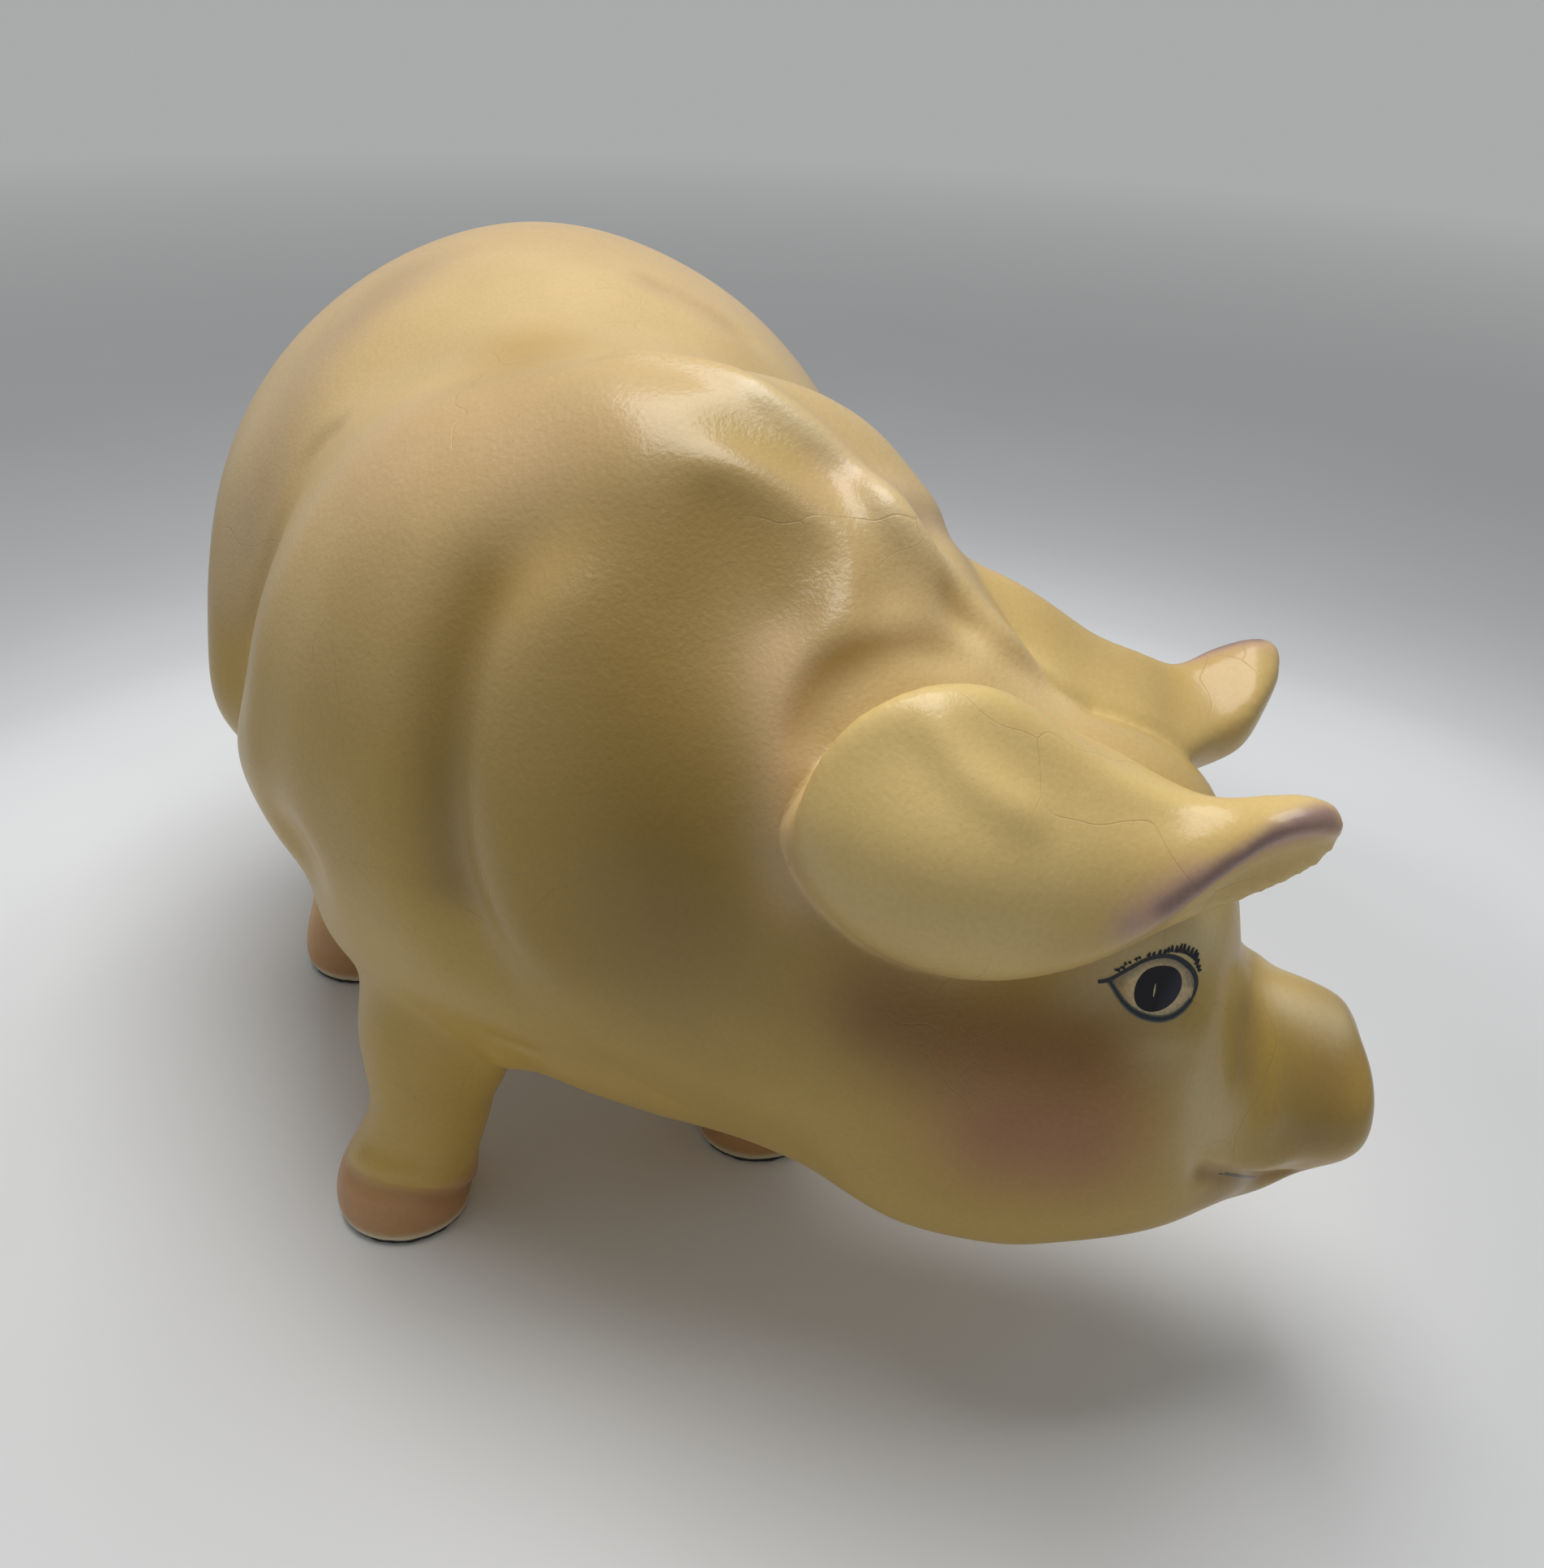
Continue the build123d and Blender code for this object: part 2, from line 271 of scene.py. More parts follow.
def ear_mesh(side):
    """Points and faces of an ear's closed form: side is 1 for the right and -1 for the left."""
    rings = []
    for ahead, *outline in ear_sections:
        ridge, edge, lean, reach = [0 if side > 0 else np.interp(ahead, *zip(*change))
                                    for change in (left_ridge_droop, left_edge_droop, left_lean, left_reach)]
        ring = [head_place(ahead + reach, side * (aside - (lean if k in inner_points else 0)),
                           height - (edge if k in lower_edge_points else ridge))
                for k, (aside, height) in enumerate(outline)]
        rings.append(closed_curve(ring, steps=4))
    tracks = [curve_through([Vector(ring[k]) for ring in rings], steps=4) for k in range(len(rings[0]))]
    grid = np.array(tracks).transpose(1, 0, 2)
    rows, around = grid.shape[:2]
    points = [Vector(point) for point in grid.reshape(-1, 3)]
    faces = []
    for row in range(rows - 1):
        faces += band(row * around, (row + 1) * around, around)
    for ring in (0, (rows - 1) * around):
        points.append(sum(points[ring:ring + around], Vector()) / around)
        faces += cap(ring, len(points) - 1, around)
    return points, faces


def vent_plug(height=54.0, half=4.0):
    """A block that shuts the vent a little way in, so that the hollow inside isn't taken for the outside."""
    vent = place((hind_right.x - front_right.x) / mm / 2, 0, height)
    corners = [Vector((x, y, z)) for x in (-1, 1) for y in (-1, 1) for z in (-1, 1)]
    cube = [(0, 1, 3, 2), (4, 6, 7, 5), (0, 4, 5, 1), (2, 3, 7, 6), (0, 2, 6, 4), (1, 5, 7, 3)]
    return [vent + corner * half * mm for corner in corners], cube


def joined_ceramic():
    """The outer surfaces of the ceramic pieces as one closed mesh of even squares."""
    solids = []
    for node in casting_nodes:
        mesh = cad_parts[node].data
        solids.append(([vertex.co for vertex in mesh.vertices],
                       [tuple(face.vertices) for face in mesh.polygons]))
    solids += [ear_mesh(1), ear_mesh(-1), vent_plug()]
    points = []
    faces = []
    for solid_points, solid_faces in solids:
        first = len(points)
        points += solid_points
        faces += [tuple(first + index for index in face) for face in solid_faces]
    thing = new_object("joined", points, faces, smooth=False)
    remesh = thing.modifiers.new("even", "REMESH")
    remesh.mode = "VOXEL"
    remesh.voxel_size = skin_voxel
    depsgraph = bpy.context.evaluated_depsgraph_get()
    even = bpy.data.meshes.new_from_object(thing.evaluated_get(depsgraph))
    bpy.data.objects.remove(thing)
    return Skin(even)


# Places on the skin, found through pixels of the photograph and repeated on the side that it doesn't show

# Distances in metres at which the skin beside a line of sight is looked for
sight_distances = np.linspace(0.2, 0.6, 81)
# Lines on the skin: spacing of points, and rounds of evening
line_spacing = 0.8 * mm
line_blur = 30
# How many of its widths a stroke and a spray reach
stroke_reach = 3.0
spray_reach = 2.5


def mirrored(line, across):
    """The same line on the other side of the body or of the turned head, or on the other front leg."""
    if across == "head":
        return [p - 2 * (p - poll).dot(head_right) * head_right for p in line]
    setback = left_setback if across == "front leg" else 0
    return [Vector((p.x + setback, 2 * pig_origin.y - p.y, p.z)) for p in line]


def on_skin(tree, pixel):
    """Where the line of sight through a pixel meets the skin, or the skin's nearest point to it."""
    point = tree.ray_cast(camera_eye, sight(pixel))[0]
    if point is None:
        passed = [tree.find_nearest(camera_eye + sight(pixel) * away) for away in sight_distances]
        point = min(passed, key=lambda found: found[3])[0]
    return point


def evenly_spaced(line, spacing):
    lengths = np.concatenate([[0], np.cumsum(np.linalg.norm(np.diff(line, axis=0), axis=1))])
    along = np.linspace(0, lengths[-1], max(int(lengths[-1] / spacing), 3))
    return np.column_stack([np.interp(along, lengths, line[:, k]) for k in range(3)])


def blurred(line):
    line = line.copy()
    for _ in range(line_blur):
        line[1:-1] = (line[:-2] + 2 * line[1:-1] + line[2:]) / 4
    return line


def lines_on_skin(tree, pixels, width, mirror=None):
    """The line through the pixels and its mirror image, if any, as points on the skin and their normals. The
    points lie about a quarter of a stroke's width apart."""
    passed_over = max(1, int(width * mm / 4 / line_spacing))
    line = [on_skin(tree, pixel) for pixel in pixels]
    for points in [line] if mirror is None else [line, mirrored(line, mirror)]:
        smooth_line = evenly_spaced(curve_through([Vector(p) for p in points], steps=8), line_spacing)
        found = [tree.find_nearest(Vector(p))[:2] for p in smooth_line]
        centres = blurred(np.array([spot for spot, _ in found]))
        facing = blurred(np.array([normal for _, normal in found]))
        facing /= np.linalg.norm(facing, axis=1)[:, None]
        yield centres[::passed_over], facing[::passed_over]


def near_line(points, centres, reach):
    """Indices of the points within reach of a line's box, and their squared distances from its centres."""
    inside = (points > centres.min(0) - reach) & (points < centres.max(0) + reach)
    near = np.flatnonzero(np.all(inside, axis=1))
    nearby = points[near]
    return near, (np.sum(nearby ** 2, axis=1)[:, None] + np.sum(centres ** 2, axis=1)[None, :]
                  - 2 * nearby @ centres.T)


def stroke(skin, tree, pixels, height, width, mirror=None, step=0.0):
    """Raises the skin by a height along a line, fading out over a width, in millimetres. A step lifts the
    right side of the line as it is drawn and lowers the other."""
    reach = width * mm
    for number, (centres, facing) in enumerate(lines_on_skin(tree, pixels, width, mirror)):
        spacing = np.linalg.norm(np.diff(centres, axis=0), axis=1).mean()
        near, squares = near_line(skin.points, centres, stroke_reach * reach)
        pull = np.exp(-squares / reach ** 2) * spacing / (math.sqrt(math.pi) * reach)
        tangent = np.gradient(centres, axis=0)
        tangent /= np.linalg.norm(tangent, axis=1)[:, None]
        across = np.cross(facing, tangent)
        side = (skin.points[near] @ across.T - np.sum(centres * across, axis=1)[None, :]) / reach
        turn = -1 if number == 0 else 1
        lift = np.sum(pull * (height + turn * step * side), axis=1)
        normals = skin.normals()[near]
        agree = np.sum(normals * (pull @ facing), axis=1) / np.maximum(pull.sum(axis=1), tiny)
        skin.points[near] += normals * (lift * ramp(agree, start=-0.1, end=0.6))[:, None] * mm


def carve(skin, tree, strokes):
    for values in strokes:
        stroke(skin, tree, *values)


# Strokes: a line's pixels, its height and width in millimetres and, if it has them, its mirror and its step
mass_strokes = [
    # Height of the neck's crest, and the fullness of the ham
    ([(1060, 512), (1113, 560), (1141, 600), (1169, 640), (1205, 695)], 4.2, 15),
    ([(285, 730), (288, 800), (298, 880), (308, 930)], 3.6, 13, "body"),
    ([(340, 1020), (365, 1080), (385, 1130)], -3.0, 10, "body"),
    # Nape between the neck and the poll
    ([(1105, 650), (1150, 705), (1200, 760), (1260, 810)], 3.6, 10),
    # Throat, and the back of the jowl
    ([(690, 1305), (760, 1340), (840, 1375), (920, 1405)], -3.2, 15),
    ([(1060, 1460), (1120, 1485), (1190, 1505)], 4.5, 14, "head"),
    # Web between the front leg and the chest
    ([(622, 1302), (612, 1330)], 2.4, 6, "body"),
    # Snout: its top corner fuller, its chin drawn back
    ([(1575, 1228), (1615, 1240), (1655, 1262)], 1.8, 6, "head"),
    ([(1600, 1330), (1605, 1370)], -1.6, 11, "head"),
    ([(1530, 1475), (1590, 1458), (1625, 1442)], -2.8, 9, "head"),
    # Shoulder, and the lobe of the ear
    ([(570, 520), (490, 700), (450, 900), (455, 1080)], 2.0, 24, "body"),
    ([(1100, 1040), (1180, 1095), (1290, 1115)], 7.0, 16, "head"),
]
body_strokes = [
    # Crease where the shoulder lies over the flank
    ([(415, 520), (377, 560), (345, 640), (319, 723), (308, 790)], -1.2, 4, "body", 1.0),
    # Valley between shoulder and neck, and the neck's edge beside it
    ([(700, 660), (640, 680), (585, 730), (556, 811), (540, 920), (545, 1040), (575, 1140), (615, 1215)],
      -4.5, 12),
    ([(700, 700), (655, 745), (628, 811), (615, 888), (610, 983), (618, 1079), (645, 1150), (680, 1210)],
      3.0, 10),
    ([(588, 1272), (625, 1286), (662, 1298)], -0.6, 3.0, "body"),
    # Saddle between the withers and the rump, and the crease where the left shoulder starts
    ([(450, 470), (540, 440), (630, 440), (720, 415), (820, 385)], -2.4, 14),
    ([(797, 345), (845, 368), (895, 398), (935, 425)], -1.3, 5.5),
    # Withers
    ([(720, 450), (780, 520), (815, 590)], 2.4, 13),
    # Hollow beside the crest, the muscle of the neck below it, and the foot of its slope
    ([(869, 519), (960, 559), (1040, 612)], -1.1, 7),
    ([(857, 565), (926, 582), (983, 614), (1034, 655), (1060, 695), (1046, 730), (1030, 770)], 2.3, 5.5),
    ([(850, 690), (900, 745), (930, 830)], -4.0, 17),
    # Roll of flesh behind the ear, and the groove between it and the ear
    ([(1120, 790), (1060, 785), (1005, 800), (972, 840), (960, 900), (958, 983), (975, 1066)], 2.4, 6,
      "head"),
    ([(1190, 812), (1131, 800), (1055, 815), (1008, 860), (984, 925)], -2.0, 4.5, "head"),
]
crest_line = [(760, 440), (830, 448), (897, 464), (926, 479), (971, 507), (1017, 547), (1057, 581),
              (1097, 627), (1137, 673), (1171, 722), (1200, 755), (1246, 799), (1291, 833), (1320, 867)]
crest_strokes = [(crest_line, 2.0, 3.6)]
head_strokes = [
    # Soft hollow between the neck and the jowl
    ([(1040, 1215), (1000, 1280), (972, 1350), (955, 1410)], -2.0, 12, "head"),
    # Cheek
    ([(1150, 1420), (1250, 1440), (1350, 1420)], 2.0, 22, "head"),
    # Fold along the top of the ear's lobe
    ([(1149, 885), (1177, 940), (1225, 985), (1275, 1015)], 1.6, 4.2, "head"),
    # Brow, the lower lid and the hollow in front of the eye
    ([(1400, 1165), (1450, 1148), (1500, 1150)], 1.2, 7, "head"),
    ([(1385, 1268), (1430, 1276), (1472, 1262)], 1.0, 5, "head"),
    ([(1483, 1240), (1470, 1300), (1450, 1360), (1440, 1410)], 0.8, 4, "head"),
    ([(1520, 1200), (1530, 1250), (1530, 1310)], -1.6, 7, "head"),
    # Snout: the ridge across it and the rim round its end
    ([(1560, 1230), (1573, 1290), (1573, 1340), (1566, 1395)], 1.0, 3.5, "head"),
    ([(1650, 1250), (1678, 1300), (1684, 1350), (1668, 1395)], 0.9, 4, "head"),
    # Mouth: lips, the line between them, the dimple at its corner, and the chin
    ([(1486, 1424), (1514, 1430), (1550, 1436), (1590, 1430)], 0.8, 3, "head"),
    ([(1478, 1441), (1499, 1447), (1530, 1451), (1562, 1453), (1590, 1447)], -1.4, 2.2, "head"),
    ([(1474, 1424), (1478, 1440), (1480, 1454)], -0.8, 3.0, "head"),
    ([(1500, 1466), (1540, 1468), (1580, 1460)], 0.8, 5, "head"),
]
collar_strokes = [
    # Collar above the front hooves
    ([(436, 1425), (480, 1446), (530, 1452), (590, 1440)], 1.4, 4, "front leg"),
    ([(430, 1446), (480, 1468), (530, 1474), (592, 1460)], -1.3, 2.6, "front leg"),
]


def press_nostrils(skin, ahead=74.0, aside=7.5, height=81.6, width=3.2, depth=2.6):
    """Nostrils in the snout's end, placed as by head_place."""
    normals = skin.normals()
    for side in (1, -1):
        centre = np.array(head_place(ahead, side * aside, height))
        away = np.linalg.norm(skin.points - centre, axis=1) / (width * mm)
        skin.points -= normals * (depth * mm * np.exp(-away ** 4))[:, None]


ear_margin = 2.2
tail_margin = 2.0 * mm
# How far the hooves are spared the joints' smoothing, and the ears' tips get the lobes'
hoof_spared = 0.85
tip_share = 0.12
# Inside corners of the legs: how far behind the pad, at what share of its distance aside, and how wide
leg_corner_height = 55.0
front_corner = (8.0, 0.75, 34.0)
hind_corner = (6.0, 0.8, 36.0)
# Places on the nape and the crest that are softened
nape_pixel = (1130, 670)
crest_pixel = (1095, 630)


def ear_share(points):
    """1 on the ears, falling to 0 a little way from them."""
    share = np.zeros(len(points))
    place_on_head = np.column_stack(head_axes(points))
    for side in (1, -1):
        ear_points, ear_faces = ear_mesh(side)
        tree = BVHTree.FromPolygons(ear_points, ear_faces)
        corners = np.column_stack(head_axes(np.array(ear_points)))
        inside = (place_on_head > corners.min(0) - ear_margin) & (place_on_head < corners.max(0) + ear_margin)
        near = np.flatnonzero(np.all(inside, axis=1))
        away = np.array([tree.find_nearest(Vector(points[k]))[3] for k in near])
        share[near] = np.maximum(share[near], ramp(away / mm, start=ear_margin, end=0.8))
    return share


def leg_share(points):
    """1 on the hooves, falling to 0 above the knees."""
    return ramp(points[:, 2] / mm, start=50, end=20)


def tail_share(points):
    """1 on the tail's curl, falling to 0 at its root."""
    low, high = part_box("tail")
    inside = np.all((points > np.array(low) - tail_margin) & (points < np.array(high) + tail_margin), axis=1)
    return inside * ramp(high.x - points[:, 0], start=3.0 * mm, end=7.0 * mm)


def soften(skin, centre, radius, rounds):
    """Evens the skin out within a radius in millimetres."""
    distance = np.linalg.norm(skin.points - np.array(centre), axis=1)
    skin.smooth(rounds, ramp(distance / (radius * mm), start=1, end=0.5), keep_size=False)


def soften_leg_corners(skin):
    """Rounds the inside corners where the legs leave the body, as slip wiped along a joint does."""
    for pad, setback, (behind, aside, radius) in ((front_right, left_setback, front_corner),
                                                  (hind_right, 0.0, hind_corner)):
        x = (pad.x - pig_origin.x) / mm - behind
        y = (pad.y - pig_origin.y) / mm * aside
        for centre in (place(x, y, leg_corner_height), place(x + setback / mm, -y, leg_corner_height)):
            soften(skin, centre, radius, rounds=60)


def make_skin():
    skin = joined_ceramic()
    skin.smooth(rounds=10)
    ear = ear_share(skin.points)
    smoothed = (1 - ear) * (1 - tail_share(skin.points)) * (1 - hoof_spared * leg_share(skin.points))
    skin.smooth(rounds=45, share=smoothed, keep_size=False)
    lobe = ramp(head_axes(skin.points)[0], start=12, end=-8)
    skin.smooth(rounds=16, share=ear * (tip_share + (1 - tip_share) * lobe), keep_size=False)
    soften_leg_corners(skin)
    tree = skin.tree()
    carve(skin, tree, mass_strokes)
    soften(skin, on_skin(tree, nape_pixel), radius=30, rounds=25)
    tree = skin.tree()
    carve(skin, tree, body_strokes)
    soften(skin, on_skin(tree, crest_pixel), radius=20, rounds=14)
    carve(skin, skin.tree(), crest_strokes)
    carve(skin, tree, head_strokes)
    press_nostrils(skin)
    carve(skin, tree, collar_strokes)
    skin.smooth(rounds=3)
    piece = new_object("glazed_skin", skin.points, skin.faces)
    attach(piece, "root")
    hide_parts(*ceramic_nodes)
    return piece, skin, ear


# Underglaze colours, airbrushed on the skin, with painted light and shade among them

cream = (0.52, 0.335, 0.062)
warm_cream = (0.60, 0.385, 0.10)
# Painted light: a paler cream that stands for the sheen on tops facing the lamp
top_sheen_cream = (0.65, 0.465, 0.225)
# Pink of the rump, also sprayed as painted highlight on the shoulder and on the roll behind the ear
pink_and_highlight_cream = (0.61, 0.41, 0.215)
rump_pink = (0.49, 0.34, 0.18)
pale_cream = (0.70, 0.58, 0.31)
ear_yellow = (0.72, 0.515, 0.19)
# Ochre airbrushing of the neck, also sprayed as painted shade
neck_ochre_and_shade = (0.26, 0.156, 0.023)
blush_pink = (0.38, 0.165, 0.075)
# Brown of the cheeks, also sprayed as painted shade under the ear and in the mouth's crease
cheek_brown_and_shade = (0.25, 0.12, 0.014)
# Ochre of the snout, also sprayed as painted shade
snout_ochre_and_shade = (0.31, 0.19, 0.046)
# Painted highlight
highlight_cream = (0.80, 0.65, 0.40)
# Painted light on the nape
nape_light_cream = (0.84, 0.62, 0.30)
# Painted shade for the hollow beside the crest
hollow_shade_olive = (0.50, 0.35, 0.09)
# Painted shade for the saddle
saddle_shade_ochre = (0.50, 0.32, 0.10)
root_cream = (0.56, 0.38, 0.13)
# Painted shade for creases
crease_shade_brown = (0.34, 0.17, 0.07)
mauve = (0.27, 0.165, 0.14)
rim_pink = (0.55, 0.34, 0.25)
hoof_pink = (0.48, 0.235, 0.10)
# Painted light for the hind legs
hind_lit_pink = (0.95, 0.50, 0.17)
unglazed_ring = (0.68, 0.58, 0.38)

# Sprays: a line's pixels, its width in millimetres, its colour, its strength and, if it has one, its mirror
body_sprays = [
    ([(500, 340), (400, 430), (330, 560), (285, 720)], 14, rump_pink, 0.8),
    ([(800, 346), (850, 370), (893, 397)], 4, mauve, 0.2),
    # Painted shade in the saddle between the withers and the rump
    ([(650, 430), (600, 490)], 16, saddle_shade_ochre, 0.95),
    # Painted highlight on the top of the shoulder
    ([(480, 570), (590, 525), (680, 560)], 20, pink_and_highlight_cream, 0.7),
    # Painted shade on the side of the shoulder
    ([(450, 720), (445, 880)], 16, neck_ochre_and_shade, 0.25),
    # Painted highlight along the crest's ridge
    (crest_line[3:9], 3, highlight_cream, 0.7),
    # Painted light: the nape painted paler, standing for light falling on it
    ([(1137, 673), (1166, 724), (1200, 764), (1246, 799), (1291, 833)], 9, nape_light_cream, 0.7),
    # Painted shade in the hollow beside the crest
    ([(890, 520), (960, 555), (1040, 612)], 5, hollow_shade_olive, 0.6),
    # Ochre airbrushing on the neck, darkened further as painted shade
    ([(800, 740), (810, 900), (840, 1120)], 32, neck_ochre_and_shade, 0.9),
    # Painted shade below the neck's muscle
    ([(870, 625), (950, 675), (985, 745)], 8, neck_ochre_and_shade, 0.6),
    # Painted shade in the valley between the shoulder and the neck
    ([(600, 730), (560, 820), (545, 950), (560, 1080)], 9, neck_ochre_and_shade, 0.8),
    # Ochre on the snout's side, darkened as painted shade where it faces down
    ([(1640, 1300), (1635, 1360), (1620, 1400)], 12, snout_ochre_and_shade, 0.85, "head"),
    # Painted shade in the hollow in front of the eye
    ([(1535, 1250), (1530, 1310)], 6, snout_ochre_and_shade, 0.6, "head"),
    # Painted reflection of the lamp on the snout's top corner
    ([(1580, 1232), (1650, 1262)], 5, highlight_cream, 0.55, "head"),
]
head_sprays = [
    ([(1230, 740), (1330, 790), (1450, 850)], 15, root_cream, 0.85),
    ([(1300, 735), (1400, 790), (1480, 825)], 10, root_cream, 0.5),
    ([(1500, 860), (1540, 815)], 12, root_cream, 0.85),
    ([(1330, 1165), (1440, 1100), (1540, 1040)], 9, warm_cream, 0.5, "head"),
    ([(1400, 1140), (1470, 1100), (1540, 1060), (1600, 1030), (1635, 1020)], 4.6, rim_pink, 0.9, "head"),
    ([(1440, 1120), (1500, 1078), (1560, 1040), (1605, 1008), (1640, 1005)], 2.3, mauve, 0.95, "head"),
    ([(1480, 1155), (1400, 1180), (1350, 1235)], 8, pale_cream, 0.9, "head"),
    ([(1420, 1290), (1470, 1330), (1490, 1400)], 8, pale_cream, 0.5, "head"),
    # Painted shade under the lower lip
    ([(1500, 1470), (1545, 1470), (1595, 1458)], 6, snout_ochre_and_shade, 0.6, "head"),
    # Painted shade along the mouth's crease
    ([(1482, 1446), (1510, 1449), (1555, 1453), (1600, 1445)], 1.8, cheek_brown_and_shade, 0.55, "head"),
    # Brown on the cheek, darkened as painted shade under the ear's lobe
    ([(1090, 1250), (1200, 1285), (1330, 1300)], 15, cheek_brown_and_shade, 0.97, "head"),
    ([(1240, 1400), (1340, 1405)], 16, blush_pink, 0.85, "head"),
    # Painted highlight on the roll of flesh behind the ear
    ([(960, 800), (965, 950), (985, 1100)], 7, pink_and_highlight_cream, 0.6, "head"),
]
# Painted shade in the crease above the front hooves
collar_sprays = [([(430, 1449), (480, 1471), (530, 1477), (592, 1463)], 1.8, crease_shade_brown, 0.3, "front leg")]
# Tints: a colour, its strength, and where along each axis, in millimetres, it starts and is full
ahead_axis = 0
height_axis = 2
body_tints = [
    # Paler towards the top: painted sheen of the light from above
    (top_sheen_cream, 0.8, (height_axis, 120, 185)),
    (pink_and_highlight_cream, 0.6, (ahead_axis, -60, -150)),
    (warm_cream, 0.5, (height_axis, 60, 20)),
]
hoof_tints = [
    (hoof_pink, 0.85, (height_axis, 22, 14)),
    # Painted light: the hind legs and hooves painted paler than the front ones, standing for light that
    # reaches them
    (hind_lit_pink, 0.8, (ahead_axis, -90, -120), (height_axis, 45, 25)),
]
sole_tints = [(unglazed_ring, 1.0, (height_axis, 4.6, 3.4))]
ear_tint_strength = 0.9
# Grain under the glaze: its least share, and how much is lost on the face and on the ears
least_grain = 0.25
face_loss = 0.85
ear_loss = 0.5


def airbrush(skin, colours, tree, sprays):
    """Sprays colours along lines of the photograph's pixels, each fading out over its width."""
    for pixels, width, colour, strength, *mirror in sprays:
        for centres, facing in lines_on_skin(tree, pixels, width, *mirror):
            near, squares = near_line(skin.points, centres, spray_reach * width * mm)
            nearest = np.argmin(squares, axis=1)
            distance_squared = squares[np.arange(len(near)), nearest] / (width * mm) ** 2
            agree = np.sum(skin.normals()[near] * facing[nearest], axis=1)
            share = (strength * np.exp(-distance_squared) * ramp(agree, start=-0.2, end=0.5))[:, None]
            colours[near] += share * (np.array(colour) - colours[near])


def cover(colours, share, colour):
    colours += share[:, None] * (np.array(colour) - colours)


def tint(colours, places, tints):
    for colour, share, *limits in tints:
        for axis, start, full in limits:
            share = share * ramp(places[:, axis], start, full)
        cover(colours, share, colour)


def store_colours(mesh, colours):
    layer = mesh.attributes.new("paint", "FLOAT_COLOR", "POINT")
    opaque = np.column_stack([colours, np.ones(len(colours))])
    layer.data.foreach_set("color", opaque.astype(np.float32).ravel())


def paint_skin(piece, skin, ear):
    tree = skin.tree()
    places = (skin.points - np.array(pig_origin)) / mm
    colours = np.tile(np.array(cream), (len(places), 1))
    tint(colours, places, body_tints)
    airbrush(skin, colours, tree, body_sprays)
    cover(colours, ear_tint_strength * ear, ear_yellow)
    airbrush(skin, colours, tree, head_sprays)
    tint(colours, places, hoof_tints)
    airbrush(skin, colours, tree, collar_sprays)
    tint(colours, places, sole_tints)
    store_colours(piece.data, colours)
    ahead, _, height = head_axes(skin.points)
    face = ramp(ahead, start=10, end=35)
    rough = ramp(height, start=70, end=120) * (1 - face_loss * face) * (1 - ear_loss * ear)
    grain = piece.data.attributes.new("grain", "FLOAT", "POINT")
    grain.data.foreach_set("value", (least_grain + (1 - least_grain) * rough).astype(np.float32))


# Painted lines and eyes: thin closed sheets of colour laid on the skin

# Height of a layer, and depth of a sheet's underside
paint_lift = 0.05 * mm
paint_depth = 0.25 * mm


